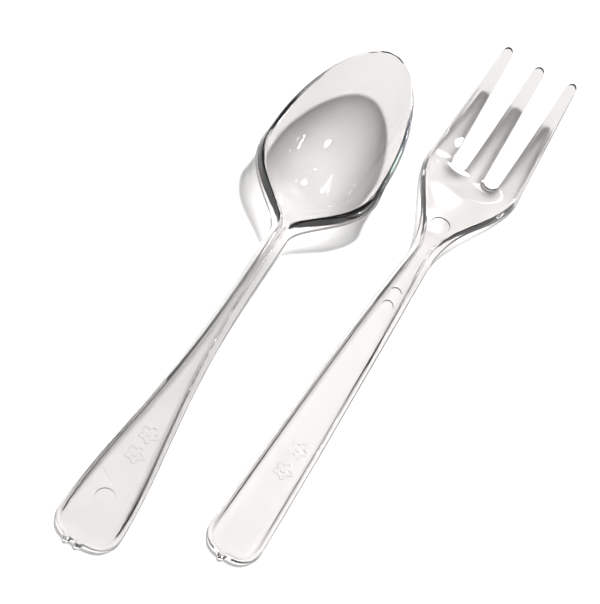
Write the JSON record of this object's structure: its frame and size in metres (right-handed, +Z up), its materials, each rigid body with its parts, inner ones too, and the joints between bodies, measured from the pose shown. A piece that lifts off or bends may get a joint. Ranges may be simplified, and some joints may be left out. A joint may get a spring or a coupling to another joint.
{
  "type": "plastic cutlery set",
  "caption": "Clear plastic disposable cutlery, a dessert spoon and a fork lying side by side, each a single thin moulding with splayed sides and a channelled neck.",
  "frame": {"origin": "on the table, under the middle of the pair's bounding box", "axes": "+Y from the handle ends to the bowl and tines, +X from the spoon to the fork, +Z up from the table"},
  "size_m": [0.0518, 0.148, 0.0097],
  "materials": {
    "clear_plastic": "clear, smooth, as moulded"
  },
  "bodies": {
    "root": {"spoon": "clear_plastic", "fork": "clear_plastic"}
  },
  "joints": []
}
